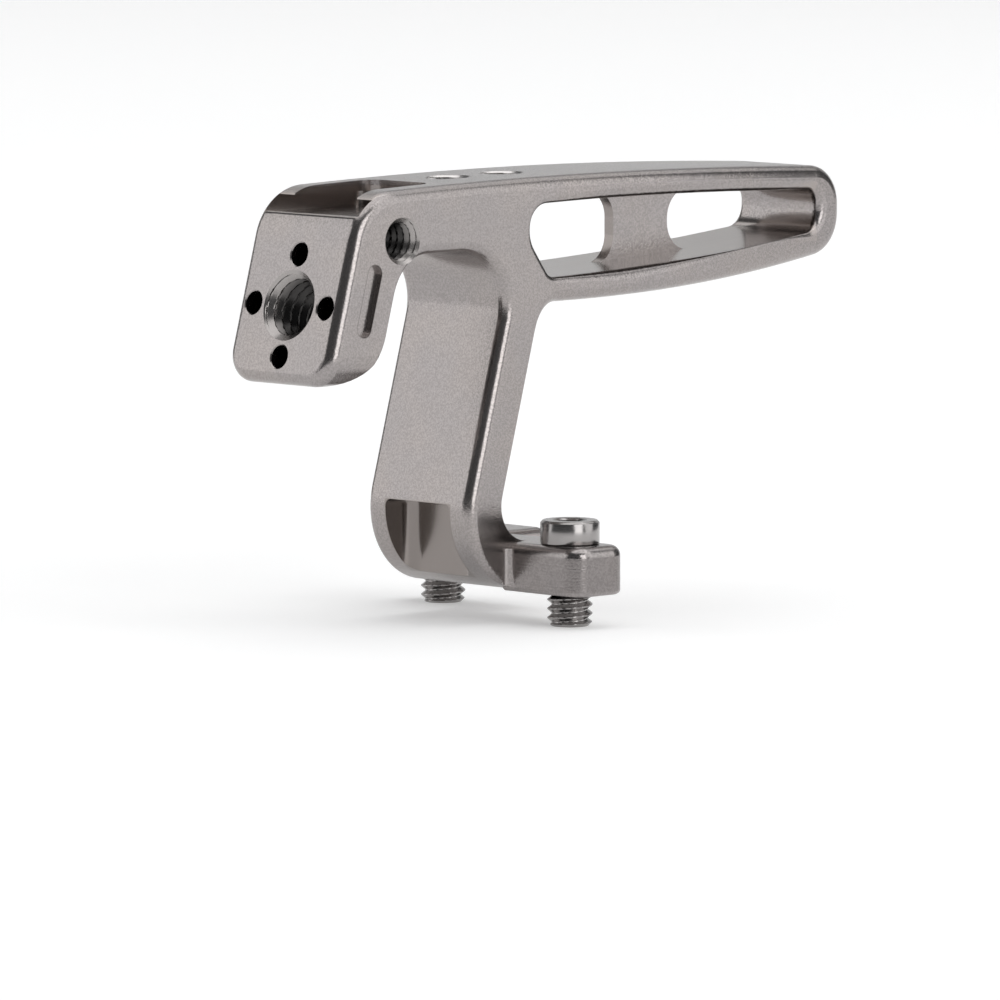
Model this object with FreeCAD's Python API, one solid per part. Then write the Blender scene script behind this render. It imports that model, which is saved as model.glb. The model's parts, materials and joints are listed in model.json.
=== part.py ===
"""Top handle for a camera: a one-piece machined body and the two screws of its foot.

All sizes are in millimetres. X runs from the front block to the rear of the grip,
Y across the handle and Z up. The shapes are drawn with the mouth of the large front
hole at the origin, and are moved at the end so that the foot stands on Z = 0.
"""
import os
import math
import FreeCAD
import Part

os.makedirs("parts", exist_ok=True)
V = FreeCAD.Vector

# Body as a whole
width = 21.0
lean = 0.2736            # rearward run of the sloped faces for each unit of height

# Front block
block_thick = 9.72       # along X
block_bottom = -10.9
block_corner = 4.2       # long edges under the block
block_heel = 9.2         # rounding at the lower rear of the block
brow_radius = 8.8        # rounding where the front face turns into the top

# Top and grip
grip_end = 101.05
grip_end_top_radius = 5.7
grip_end_low_radius = 6.0
top_front = (10.8, 15.8)
top_rear = (grip_end - 6.15, 15.5)
top_middle = (0.5 * (top_front[0] + top_rear[0]) + 5.95, 16.5)
grip_low_front = (45.0, -1.2)
grip_low_rear = (grip_end - 6.05, 2.4)
grip_low_middle = (0.5 * (grip_low_front[0] + grip_low_rear[0]) + 2.0, -0.1)
taper_start = 53.8
taper_radius = 430.0

# Window of the grip and the web that crosses it
window_front = 36.5
window_end_wall = 4.85   # between the window and the end of the grip
window_rear = grip_end - window_end_wall
window_top_front = 12.64
window_top_rear = (window_rear - 4.2, 12.1)
window_top_middle = (0.5 * (window_front + window_top_rear[0]), 12.85)
window_low_front = (40.0, 2.3)
window_low_rear = (window_rear - 2.2, 6.1)
window_low_middle = (0.5 * (window_low_front[0] + window_low_rear[0]) + 1.0, 3.5)
window_knee = (3.8, 7.6)   # run of the slanted lower front corner, and the height where it starts
window_front_radius = 3.4
window_knee_radius = 4.4
window_toe_radius = 2.2
window_rear_top_radius = 2.6
window_rear_low_radius = 3.6
web_thick = 1.84
web_front = 61.9
web_rear = 72.6
web_front_top_radius = 3.7
web_front_low_radius = 4.0
web_rear_top_radius = 4.4
web_rear_low_radius = 4.3

# Arch between the block and the post
arch_ceiling = 6.7
arch_front_radius = 7.5
arch_rear_radius = 8.0

# Post
post_front = 26.4        # X of the front face at the height post_level
post_level = -21.0
post_thick = 6.4         # along X
post_heel = 11.3
post_flare = 5.1
grip_root_radius = 5.2

# Foot
foot_bottom = -41.16
foot_height = 6.9
ear_front = 32.0
ear_length = 9.9
ear_reach = 24.3         # from the middle plane to the outer wall of an ear
foot_rear = ear_front + ear_length
lug_step = 9.3           # the far ear stands this much behind the near one
lug_start = 0.6          # from the middle plane to the inner wall of the far ear
lug_corner = 2.0
ear_corner = 2.8
ear_top_radius = 1.5
ear_low_radius = 0.7
ear_root_radius = 1.07
ear_root_drop = 0.87     # from the top of the foot to the top of the root fillet
screw_reach = 17.56      # from the middle plane to a foot screw
screw_offset = 0.09      # from the middle of an ear's length toward the other ear

# Pocket in the lower front of the post
pocket_wall = 4.0        # on each side of the pocket
pocket_half = width / 2 - pocket_wall
pocket_front = 10.0      # in the open arch, well in front of the post
pocket_back = 29.4
pocket_top = -28.8
pocket_corner = 2.1
pocket_ceiling_radius = 1.0
pocket_rim = 0.35

# Edge rounding
edge_round = 1.7
edge_thin = 0.3
front_edge_round = 1.6
arch_edge_round = 1.5
window_edge_front = 0.85
window_edge_rear = 1.4

# Accessory shoe
shoe_floor = 12.45
shoe_lip_bottom = 14.6
shoe_wall = 1.1          # on each side of the seat
shoe_lip = 3.1           # reach of a lip over the seat
shoe_half = width / 2 - shoe_wall
shoe_opening_half = shoe_half - shoe_lip
shoe_front = 7.0
shoe_rear = 22.1
shoe_corner = 2.6
shoe_brow = 0.85

# Holes
large_bore = 4.7625      # radius
large_mouth = 5.0
small_bore = 3.175
small_mouth = 3.3
pin_circle = 14.45
pin_hole = 1.65
pin_depth = 4.5
side_hole = (11.6, 8.8)
side_depth = 8.0
top_hole_front = 30.3
top_hole_rear = 40.7
top_hole_depth = 8.2
top_hole_rear_depth = 4.2
recess_centre = (5.4, 0.8)
recess_length = 10.2
recess_half = 1.3
recess_depth = 0.8

# Foot screws
head_radius = 4.15
head_height = 3.35
head_break = 0.32
socket_flats = 3.97
socket_depth = 1.9
shank_radius = 3.175
shank_below = 4.6
neck_radius = 2.5        # plain neck between the head and the thread
clearance_radius = 3.3


def slope_x(start, level, z):
    """X at height z on a leaning line that passes through X = start at a given level."""
    return start + lean * (z - level)


def circle_through(a, b, c):
    """Centre and radius of the circle through three points of the side view."""
    ax, az = a
    bx, bz = b
    cx, cz = c
    d = 2.0 * (ax * (bz - cz) + bx * (cz - az) + cx * (az - bz))
    ux = (ax * ax + az * az) * (bz - cz) + (bx * bx + bz * bz) * (cz - az) + (cx * cx + cz * cz) * (az - bz)
    uz = (ax * ax + az * az) * (cx - bx) + (bx * bx + bz * bz) * (ax - cx) + (cx * cx + cz * cz) * (bx - ax)
    ux = ux / d
    uz = uz / d
    return ux, uz, math.hypot(ax - ux, az - uz)


def z_on(circle, x, upper):
    """Height of the upper or lower half of a circle at a given X."""
    cx, cz, r = circle
    rise = math.sqrt(r * r - (x - cx) ** 2)
    return cz + rise if upper else cz - rise


def side_wire(path, y):
    """Closed wire in the side view. Each entry is (x, z), or (x, z, (via x, via z)) for an arc that ends there."""
    edges = []
    count = len(path)
    for i in range(count):
        a = path[i - 1]
        b = path[i]
        p = V(a[0], y, a[1])
        q = V(b[0], y, b[1])
        if len(b) == 3:
            edges.append(Part.Arc(p, V(b[2][0], y, b[2][1]), q).toShape())
        else:
            edges.append(Part.makeLine(p, q))
    return Part.Wire(edges)


def slab(path, y0, y1):
    """Side-view outline given its width."""
    return Part.Face(side_wire(path, y0)).extrude(V(0, y1 - y0, 0))


def is_across(edge):
    """True for a straight edge that runs across the handle."""
    if len(edge.Vertexes) < 2:
        return False
    a = edge.Vertexes[0].Point
    b = edge.Vertexes[-1].Point
    return abs(a.x - b.x) < 1e-5 and abs(a.z - b.z) < 1e-5 and abs(a.y - b.y) > 1e-3


def across_at(shape, x, z):
    """Edge across the handle that stands at a point of the side view."""
    best = None
    best_d = 1e9
    for e in shape.Edges:
        if is_across(e):
            p = e.Vertexes[0].Point
            d = math.hypot(p.x - x, p.z - z)
            if d < best_d:
                best = e
                best_d = d
    return best


def round_corners(shape, corners):
    """Round the edges across the handle, each given as (x, z, radius)."""
    for x, z, radius in corners:
        shape = shape.makeFillet(radius, [across_at(shape, x, z)])
    return shape


def blend(shape, choose):
    """Round every edge for which choose(edge) gives a pair of radii."""
    doc = FreeCAD.newDocument("blend")
    base = doc.addObject("Part::Feature", "base")
    base.Shape = shape
    rounded = doc.addObject("Part::Fillet", "rounded")
    rounded.Base = base
    picks = []
    for number, edge in enumerate(shape.Edges, 1):
        radii = choose(edge)
        if radii:
            picks.append((number, radii[0], radii[1]))
    rounded.Edges = picks
    doc.recompute()
    result = rounded.Shape.copy()
    FreeCAD.closeDocument(doc.Name)
    return result


def middle(edge):
    """Point half way along an edge."""
    return edge.valueAt(0.5 * (edge.FirstParameter + edge.LastParameter))


def fit_pair(a, b, room):
    """Two roundings on one wall, made smaller together if the wall is too short for them."""
    share = min(1.0, 0.96 * room / (a + b))
    return a * share, b * share


top_circle = circle_through(top_front, top_middle, top_rear)
low_circle = circle_through(grip_low_front, grip_low_middle, grip_low_rear)

brow_z = 15.5
for step in range(6):
    brow_z = z_on(top_circle, lean * brow_z, True)
brow_x = lean * brow_z

root_z = -1.2
for step in range(6):
    root_z = z_on(low_circle, slope_x(post_front + post_thick, post_level, root_z), False)
root_x = slope_x(post_front + post_thick, post_level, root_z)

foot_top = foot_bottom + foot_height


def body_outline(half):
    """The whole side view as one solid with its corners rounded, reaching half a width each way."""
    end_top = z_on(top_circle, grip_end, True)
    end_low = z_on(low_circle, grip_end, False)
    top_mid = 0.5 * (brow_x + grip_end)
    low_mid = 0.5 * (root_x + grip_end)
    rear_foot_x = slope_x(post_front + post_thick, post_level, foot_top)
    heel_x = slope_x(post_front, post_level, foot_bottom)
    arch_rear_x = slope_x(post_front, post_level, arch_ceiling)
    arch_front_x = slope_x(block_thick, 0.0, arch_ceiling)
    heel_block_x = slope_x(block_thick, 0.0, block_bottom)
    path = [
        (lean * block_bottom, block_bottom),
        (brow_x, brow_z),
        (grip_end, end_top, (top_mid, z_on(top_circle, top_mid, True))),
        (grip_end, end_low),
        (root_x, root_z, (low_mid, z_on(low_circle, low_mid, False))),
        (rear_foot_x, foot_top),
        (foot_rear, foot_top),
        (foot_rear, foot_bottom),
        (heel_x, foot_bottom),
        (arch_rear_x, arch_ceiling),
        (arch_front_x, arch_ceiling),
        (heel_block_x, block_bottom),
    ]
    solid = slab(path, -half, half)
    return round_corners(solid, [
        (brow_x, brow_z, brow_radius),
        (grip_end, end_top, grip_end_top_radius),
        (grip_end, end_low, grip_end_low_radius),
        (root_x, root_z, grip_root_radius),
        (rear_foot_x, foot_top, post_flare),
        (heel_x, foot_bottom, post_heel),
        (arch_rear_x, arch_ceiling, arch_rear_radius),
        (arch_front_x, arch_ceiling, arch_front_radius),
        (heel_block_x, block_bottom, block_heel),
    ])


def plan_outline():
    """Plan view of the body: straight sides that draw in toward the rear of the grip."""
    half = width / 2
    rear = grip_end + 3.0
    run = rear - taper_start
    drop = taper_radius - math.sqrt(taper_radius ** 2 - run ** 2)
    mid = 0.5 * (taper_start + rear)
    mid_drop = taper_radius - math.sqrt(taper_radius ** 2 - (mid - taper_start) ** 2)
    z = foot_bottom - 5.0
    a = V(-12.0, -half, z)
    b = V(taper_start, -half, z)
    c = V(rear, -half + drop, z)
    d = V(rear, half - drop, z)
    e = V(taper_start, half, z)
    f = V(-12.0, half, z)
    edges = [
        Part.makeLine(a, b),
        Part.Arc(b, V(mid, -half + mid_drop, z), c).toShape(),
        Part.makeLine(c, d),
        Part.Arc(d, V(mid, half - mid_drop, z), e).toShape(),
        Part.makeLine(e, f),
        Part.makeLine(f, a),
    ]
    return Part.Face(Part.Wire(edges)).extrude(V(0, 0, 80.0))


def rounded_block(x0, x1, y0, y1, z0, z1, corners):
    """Box whose upright edges are rounded, each corner given as (x, y, radius)."""
    box = Part.makeBox(x1 - x0, y1 - y0, z1 - z0, V(x0, y0, z0))
    for x, y, radius in corners:
        box = round_upright(box, x, y, radius)
    return box


def round_upright(shape, x, y, radius):
    """Round the upright edge that stands at a point of the plan view."""
    for e in shape.Edges:
        p = e.Vertexes[0].Point
        q = e.Vertexes[-1].Point
        upright = abs(p.x - q.x) < 1e-6 and abs(p.y - q.y) < 1e-6
        if upright and math.hypot(p.x - x, p.y - y) < 1e-4:
            return shape.makeFillet(radius, [e])
    return shape


def corner_cut(corner, into, radius, along, start, length):
    """Cutter that rounds one straight edge.

    The edge runs from start along the direction along; corner is a point on it, and the two
    directions in into point from the edge into the body, along the two faces that meet there.
    """
    u, w = into
    over = 1.0
    base = corner + along * start
    points = [base - u * over - w * over, base + u * radius - w * over,
              base + u * radius + w * radius, base - u * over + w * radius]
    block = Part.Face(Part.makePolygon(points + points[:1])).extrude(along * length)
    centre = base + u * radius + w * radius
    return block.cut(Part.makeCylinder(radius, length, centre, along))


def soften_block(block, hidden):
    """Round the level edges of a block of the foot, apart from those for which hidden(middle) holds."""

    def soft(edge):
        m = middle(edge)
        flat = abs(edge.Vertexes[0].Point.z - edge.Vertexes[-1].Point.z) < 1e-6
        if not flat or hidden(m):
            return None
        if abs(m.z - foot_top) < 1e-6:
            return ear_top_radius, ear_top_radius
        if abs(m.z - foot_bottom) < 1e-6:
            return ear_low_radius, ear_low_radius
        return None

    return blend(block, soft)


def near_ear():
    """Near ear of the foot: a rounded block that stands out from the side, with a soft upper edge."""
    inner = -(width / 2 - 1.2)
    x1 = ear_front + ear_length
    block = rounded_block(ear_front, x1, -ear_reach, inner, foot_bottom, foot_top,
                          [(ear_front, -ear_reach, ear_corner), (x1, -ear_reach, ear_corner)])
    return soften_block(block, lambda m: abs(m.y - inner) < 1e-4)


def far_ear():
    """Far ear of the foot: it stands behind the foot and reaches out past the far side."""
    half = width / 2
    x0 = ear_front + lug_step
    x1 = x0 + ear_length
    inside = foot_rear - 3.4
    plan = [(inside, lug_start), (x1, lug_start), (x1, ear_reach), (x0, ear_reach), (x0, half), (inside, half)]
    points = [V(x, y, foot_bottom) for x, y in plan + plan[:1]]
    block = Part.Face(Part.makePolygon(points)).extrude(V(0, 0, foot_height))
    corners = [(x1, lug_start, lug_corner), (x1, ear_reach, ear_corner), (x0, ear_reach, ear_corner),
               (x0, half, ear_root_radius)]
    for x, y, radius in corners:
        block = round_upright(block, x, y, radius)
    return soften_block(block, lambda m: m.x < inside + 1e-4)


def root_fillet(x, y, sx, sy, z0, z1):
    """Concave upright fillet that fills the corner at (x, y); sx and sy point into the open quarter."""
    r = ear_root_radius
    grow = 0.3
    a = V(x - sx * grow, y - sy * grow, z0)
    b = V(x + sx * r, y - sy * grow, z0)
    c = V(x + sx * r, y, z0)
    e = V(x, y + sy * r, z0)
    f = V(x - sx * grow, y + sy * r, z0)
    s = r * (1.0 - math.sqrt(0.5))
    d = V(x + sx * s, y + sy * s, z0)
    edges = [
        Part.makeLine(a, b),
        Part.makeLine(b, c),
        Part.Arc(c, d, e).toShape(),
        Part.makeLine(e, f),
        Part.makeLine(f, a),
    ]
    return Part.Face(Part.Wire(edges)).extrude(V(0, 0, z1 - z0))


def window_cut():
    """Opening through the grip with its corners rounded."""
    top = circle_through((window_front, window_top_front), window_top_middle, window_top_rear)
    low = circle_through(window_low_front, window_low_middle, window_low_rear)
    z_tf = z_on(top, window_front, True)
    z_tr = z_on(top, window_rear, True)
    z_lr = z_on(low, window_rear, False)
    knee_x = window_front + window_knee[0]
    z_lf = z_on(low, knee_x, False)
    path = [
        (window_front, window_knee[1]),
        (window_front, z_tf),
        (window_rear, z_tr, window_top_middle),
        (window_rear, z_lr),
        (knee_x, z_lf, window_low_middle),
    ]
    cut = slab(path, -width, width)
    rear_top, rear_low = fit_pair(window_rear_top_radius, window_rear_low_radius, z_tr - z_lr)
    front_top, front_knee = fit_pair(window_front_radius, 0.32 * window_knee_radius, z_tf - window_knee[1])
    return round_corners(cut, [
        (window_front, z_tf, front_top),
        (window_front, window_knee[1], front_knee / 0.32),
        (knee_x, z_lf, window_toe_radius),
        (window_rear, z_tr, rear_top),
        (window_rear, z_lr, rear_low),
    ])


def web():
    """Upright web in the middle of the window, flared into the bars above and below."""
    top = circle_through((window_front, window_top_front), window_top_middle, window_top_rear)
    low = circle_through(window_low_front, window_low_middle, window_low_rear)
    k = math.sqrt(0.5)
    room_front = z_on(top, web_front, True) - z_on(low, web_front, False)
    room_rear = z_on(top, web_rear, True) - z_on(low, web_rear + web_rear_low_radius, False)
    ft, fl = fit_pair(web_front_top_radius, web_front_low_radius, room_front)
    rt, rl = fit_pair(web_rear_top_radius, web_rear_low_radius, room_rear)
    ztf = z_on(top, web_front - ft, True) + 0.15
    zlf = z_on(low, web_front - fl, False) - 0.15
    ztr = z_on(top, web_rear + rt, True) + 0.15
    zlr = z_on(low, web_rear + rl, False) - 0.15
    path = [
        (web_front - ft, ztf + 0.6),
        (web_rear + rt, ztr + 0.6),
        (web_rear + rt, ztr),
        (web_rear, ztr - rt, (web_rear + rt * (1 - k), ztr - rt * (1 - k))),
        (web_rear, zlr + rl),
        (web_rear + rl, zlr, (web_rear + rl * (1 - k), zlr + rl * (1 - k))),
        (web_rear + rl, zlr - 0.6),
        (web_front - fl, zlf - 0.6),
        (web_front - fl, zlf),
        (web_front, zlf + fl, (web_front - fl * (1 - k), zlf + fl * (1 - k))),
        (web_front, ztf - ft),
        (web_front - ft, ztf, (web_front - ft * (1 - k), ztf - ft * (1 - k))),
    ]
    return slab(path, -web_thick / 2, web_thick / 2)


def shoe_cut():
    """Accessory shoe: an undercut seat, open to the front, below a narrower opening."""
    seat = rounded_block(-20.0, shoe_rear, -shoe_half, shoe_half, shoe_floor, shoe_lip_bottom,
                         [(shoe_rear, -shoe_half, 1.2), (shoe_rear, shoe_half, 1.2)])
    opening = rounded_block(-20.0, shoe_rear - 0.6, -shoe_opening_half, shoe_opening_half, shoe_floor, 30.0,
                            [(shoe_rear - 0.6, -shoe_opening_half, shoe_corner),
                             (shoe_rear - 0.6, shoe_opening_half, shoe_corner)])
    front = Part.makeBox(20.0 + shoe_front, 2 * shoe_half, 30.0, V(-20.0, -shoe_half, shoe_floor))
    return seat.fuse(opening).fuse(front).removeSplitter()


def bored(centre, axis, radius, mouth, depth, tip):
    """Cutters of a drilled hole with a chamfered mouth; axis points out of the mouth."""
    out = V(*axis)
    out.normalize()
    start = centre - out * depth
    rise = mouth - radius
    cutters = [Part.makeCylinder(radius, depth + 3.0, start, out)]
    cutters.append(Part.makeCone(radius, mouth + 2.0 * rise, 3.0 * rise, centre - out * rise, out))
    if tip:
        cutters.append(Part.makeCone(0.0, radius, radius * 0.6, start - out * radius * 0.6, out))
    return cutters


def pocket_cut():
    """Relief pocket that opens to the front and the bottom of the post."""
    box = rounded_block(pocket_front, pocket_back, -pocket_half, pocket_half, foot_bottom - 5.0, pocket_top,
                        [(pocket_back, -pocket_half, pocket_corner), (pocket_back, pocket_half, pocket_corner)])

    def soft(edge):
        m = middle(edge)
        flat = abs(edge.Vertexes[0].Point.z - edge.Vertexes[-1].Point.z) < 1e-6
        if flat and abs(m.z - pocket_top) < 1e-6 and m.x > pocket_front + 0.5:
            return pocket_ceiling_radius, pocket_ceiling_radius
        return None

    return blend(box, soft)


def recess_cut():
    """Shallow obround recess on the near side, parallel to the front face."""
    cx, cz = recess_centre
    long_half = recess_length / 2 - recess_half
    y0 = -width / 2 - 2.0
    depth = recess_depth + 2.0
    plate = Part.makeBox(2 * recess_half, depth, 2 * long_half, V(-recess_half, y0, -long_half))
    for end in (-long_half, long_half):
        plate = plate.fuse(Part.makeCylinder(recess_half, depth, V(0, y0, end), V(0, 1, 0)))
    plate = plate.removeSplitter()
    plate.rotate(V(0, 0, 0), V(0, 1, 0), math.degrees(math.atan(lean)))
    plate.translate(V(cx, 0, cz))
    return plate


def by_vertex(edge, radius_at):
    """Radii at the two ends of an edge."""
    return radius_at(edge.Vertexes[0].Point), radius_at(edge.Vertexes[-1].Point)


def on_outer_side(point):
    """True on the flat sides, or on the drawn-in sides of the grip."""
    half = width / 2
    if point.x > taper_start:
        half = half - taper_radius + math.sqrt(taper_radius ** 2 - (point.x - taper_start) ** 2)
    return abs(abs(point.y) - half) < 2e-3


def soften_lower(edge):
    """Rear of the block, arch and front of the post."""
    m = middle(edge)
    if is_across(edge) or not on_outer_side(m):
        return None
    behind_post = m.x > slope_x(post_front + post_thick / 2, post_level, m.z) and m.z > foot_bottom + 0.1
    in_front_of_block = m.x < slope_x(block_thick / 2, 0.0, m.z) and m.z > block_bottom + 0.1
    above = m.z > arch_ceiling + 2.0
    if behind_post or in_front_of_block or above:
        return None

    def radius_at(p):
        if p.x < block_thick + lean * p.z + 0.5 and p.z < arch_ceiling - 0.5 and p.z > post_level:
            return edge_thin
        if p.z > arch_ceiling - 0.5:
            return arch_edge_round
        if p.z > foot_bottom + post_heel:
            return front_edge_round
        return 0.6

    return by_vertex(edge, radius_at)


def soften_upper(edge):
    """Front face, top, end of the grip and its underside; the edges behind the post stay thin."""
    if is_across(edge):
        return None
    m = middle(edge)
    ends = [v.Point for v in edge.Vertexes]
    if all(abs(p.x - lean * p.z) < 1e-3 for p in ends + [m]):
        return edge_round, edge_round
    if not on_outer_side(m):
        return None
    low = slope_x(post_front + post_thick / 2, post_level, m.z) > m.x
    if low and m.z < brow_z - brow_radius:
        return None
    if m.x > foot_rear - 0.1 and m.z < foot_top + 0.1:
        return None
    seam = all(abs(p.x - taper_start) < 1e-3 for p in ends)
    if seam:
        return None

    def radius_at(p):
        if p.z < root_z - 2.0 and p.x > post_front:
            return edge_thin
        return edge_round

    return by_vertex(edge, radius_at)


def soften_window(edge):
    """Rim of the window, broader behind the point where the grip starts to draw in."""
    m = middle(edge)
    if is_across(edge) or not on_outer_side(m):
        return None
    inside_x = window_front - 0.1 < m.x < window_rear + 0.1
    inside_z = grip_low_front[1] + 2.0 < m.z < window_top_middle[1] + 0.1
    if not (inside_x and inside_z) or abs(m.x - taper_start) < 1e-3:
        return None
    low = z_on(low_circle, m.x, False)
    if m.z < low + 1.5:
        return None

    def radius_at(p):
        return window_edge_rear if p.x > taper_start + 5.0 else window_edge_front

    return by_vertex(edge, radius_at)


def body_solid():
    """The machined body."""
    body = body_outline(width / 2).common(plan_outline())
    body = blend(body, soften_lower)
    for tool in block_corner_tools():
        body = body.cut(tool)
    body = blend(body, soften_upper)
    body = body.cut(window_cut())
    body = blend(body, soften_window)
    body = body.fuse(web()).removeSplitter()
    for tool in foot_rear_tools():
        body = body.cut(tool)
    root = root_fillet(ear_front, -width / 2, -1, -1, foot_bottom, foot_top - ear_root_drop)
    body = body.fuse([near_ear(), far_ear(), root.common(body_outline(ear_reach))]).removeSplitter()
    body = body.cut(shoe_cut())
    body = body.makeFillet(shoe_brow, [brow_edge(body)])
    body = body.cut(pocket_cut())
    body = body.cut(recess_cut())
    for tool in top_hole_tools() + hole_tools():
        body = body.cut(tool)
    return body


def block_corner_tools():
    """Cutters of the two large roundings that run along the underside of the block."""
    tools = []
    for side in (-1, 1):
        corner = V(0, side * width / 2, block_bottom)
        into = (V(0, -side, 0), V(0, 0, 1))
        tools.append(corner_cut(corner, into, block_corner, V(1, 0, 0), -12.0, 24.0))
    return tools


def foot_rear_tools():
    """Cutters of the roundings above and below the rear face of the foot."""
    along = V(0, 1, 0)
    top = V(foot_rear, 0, foot_top)
    low = V(foot_rear, 0, foot_bottom)
    return [
        corner_cut(top, (V(-1, 0, 0), V(0, 0, -1)), ear_top_radius, along, -width, 2 * width),
        corner_cut(low, (V(-1, 0, 0), V(0, 0, 1)), ear_low_radius, along, -width, 2 * width),
    ]


def brow_edge(shape):
    """Front edge of the floor of the accessory shoe."""
    best = None
    for e in shape.Edges:
        if is_across(e) and abs(middle(e).z - shoe_floor) < 1e-4 and e.Length > shoe_half:
            if best is None or middle(e).x < middle(best).x:
                best = e
    return best


def top_hole_tools():
    """Cutters of the two threaded holes in the top; the rear one opens into the window."""
    tools = []
    for x, depth in ((top_hole_front, top_hole_depth), (top_hole_rear, top_hole_rear_depth)):
        z = z_on(top_circle, x, True)
        tools += bored(V(x, 0, z), (0, 0, 1), small_bore, small_mouth, depth, False)
    return tools


def hole_tools():
    """Cutters of every other drilled hole of the body."""
    n = 1.0 / math.hypot(1.0, lean)
    face_out = V(-n, 0, lean * n)
    face_up = V(lean * n, 0, n)
    tools = bored(V(0, 0, 0), (-n, 0, lean * n), large_bore, large_mouth, block_thick * n + 3.0, False)
    for k in range(4):
        turn = math.radians(90.0 * k)
        centre = face_up * (pin_circle / 2 * math.cos(turn)) + V(0, 1, 0) * (pin_circle / 2 * math.sin(turn))
        out = (face_out.x, face_out.y, face_out.z)
        tools += bored(centre, out, pin_hole, pin_hole + 0.15, pin_depth, True)
    x, z = side_hole
    tools += bored(V(x, -width / 2, z), (0, -1, 0), small_bore, small_mouth, side_depth, False)
    for x, side in screw_places():
        axis = V(x, side * screw_reach, foot_bottom - 5.0)
        tools.append(Part.makeCylinder(clearance_radius, foot_height + 10.0, axis))
    return tools


def screw_places():
    """Plan positions of the two foot screws."""
    near = ear_front + ear_length / 2 + screw_offset
    far = ear_front + lug_step + ear_length / 2 - screw_offset
    return [(near, -1), (far, 1)]


def foot_screw(x, side):
    """Cylinder-head screw with a hexagon socket, standing in an ear."""
    y = side * screw_reach
    head = Part.makeCylinder(head_radius, head_height, V(x, y, foot_top))
    rims = [e for e in head.Edges if abs(middle(e).z - foot_top - head_height) < 1e-6]
    head = head.makeChamfer(head_break, rims)
    tip = foot_bottom - shank_below
    shank = Part.makeCylinder(shank_radius, foot_height + shank_below, V(x, y, tip))
    ends = [e for e in shank.Edges if abs(middle(e).z - tip) < 1e-6]
    shank = shank.makeChamfer(0.6, ends)
    neck_low = foot_bottom - 0.1
    sleeve = Part.makeCylinder(shank_radius + 1.0, foot_top - neck_low, V(x, y, neck_low))
    shank = shank.cut(sleeve.cut(Part.makeCylinder(neck_radius, foot_top - neck_low, V(x, y, neck_low))))
    screw = head.fuse(shank).removeSplitter()
    corner = socket_flats / 2 / math.cos(math.radians(30.0))
    top = foot_top + head_height
    points = []
    for k in range(7):
        turn = math.radians(60.0 * k)
        points.append(V(x + corner * math.cos(turn), y + corner * math.sin(turn), top - socket_depth))
    socket = Part.Face(Part.makePolygon(points)).extrude(V(0, 0, socket_depth + 1.0))
    dish = Part.makeCone(corner - 0.2, corner + 0.3, 0.5, V(x, y, top - 0.5 + 0.2))
    return screw.cut([socket, dish])


def main():
    """Write every piece, moved so that the foot stands at the origin."""
    places = screw_places()
    middle_x = 0.5 * (places[0][0] + places[1][0])
    shift = V(-middle_x, 0, -foot_bottom)
    pieces = {"handle_body": body_solid()}
    pieces["foot_screw_near"] = foot_screw(*places[0])
    pieces["foot_screw_far"] = foot_screw(*places[1])
    for name, shape in pieces.items():
        if len(shape.Solids) == 1:
            shape = shape.Solids[0]
        shape.translate(shift)
        shape.exportStep("parts/" + name + ".step")
        box = shape.BoundBox
        print(name, shape.isValid(), len(shape.Solids), round(shape.Volume, 1),
              round(box.XLength, 2), round(box.YLength, 2), round(box.ZLength, 2))
    print("shift", shift)


if __name__ == "__main__":
    main()
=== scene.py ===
"""Looks for a one-piece machined camera handle: finishes, thread helices, screws, light and view."""

import json
import logging
import math
from dataclasses import dataclass
from enum import Enum
from typing import Callable, Iterable, Sequence, Union

import bpy
import numpy as np
from mathutils import Matrix, Vector

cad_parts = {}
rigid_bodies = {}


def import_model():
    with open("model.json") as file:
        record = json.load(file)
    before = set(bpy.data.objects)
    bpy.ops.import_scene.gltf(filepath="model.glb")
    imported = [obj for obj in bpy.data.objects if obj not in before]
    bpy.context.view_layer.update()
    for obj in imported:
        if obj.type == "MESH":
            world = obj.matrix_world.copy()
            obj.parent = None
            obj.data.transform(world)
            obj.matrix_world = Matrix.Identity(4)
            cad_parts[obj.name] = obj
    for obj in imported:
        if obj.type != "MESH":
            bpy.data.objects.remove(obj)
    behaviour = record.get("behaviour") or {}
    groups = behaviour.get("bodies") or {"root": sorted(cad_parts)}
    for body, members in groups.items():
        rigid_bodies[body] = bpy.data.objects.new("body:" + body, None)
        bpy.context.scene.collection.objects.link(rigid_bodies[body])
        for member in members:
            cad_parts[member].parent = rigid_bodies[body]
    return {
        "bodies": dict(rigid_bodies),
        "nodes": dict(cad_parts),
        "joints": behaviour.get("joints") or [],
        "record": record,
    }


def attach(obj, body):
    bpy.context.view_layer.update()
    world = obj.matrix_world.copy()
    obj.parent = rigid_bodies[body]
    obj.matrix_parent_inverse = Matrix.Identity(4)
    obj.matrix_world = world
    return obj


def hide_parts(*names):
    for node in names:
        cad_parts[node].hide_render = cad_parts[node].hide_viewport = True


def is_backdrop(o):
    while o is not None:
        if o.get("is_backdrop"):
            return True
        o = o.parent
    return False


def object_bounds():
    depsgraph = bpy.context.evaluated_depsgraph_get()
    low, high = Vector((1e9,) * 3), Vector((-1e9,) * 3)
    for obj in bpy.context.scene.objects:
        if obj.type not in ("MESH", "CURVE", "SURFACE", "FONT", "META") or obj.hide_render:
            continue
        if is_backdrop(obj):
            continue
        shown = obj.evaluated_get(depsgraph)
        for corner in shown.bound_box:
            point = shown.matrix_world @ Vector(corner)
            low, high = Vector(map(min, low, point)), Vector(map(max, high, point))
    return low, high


logging.basicConfig(level=logging.INFO, format="%(levelname)s %(name)s: %(message)s")
log = logging.getLogger("camera_handle")

MM = 0.001
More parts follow.
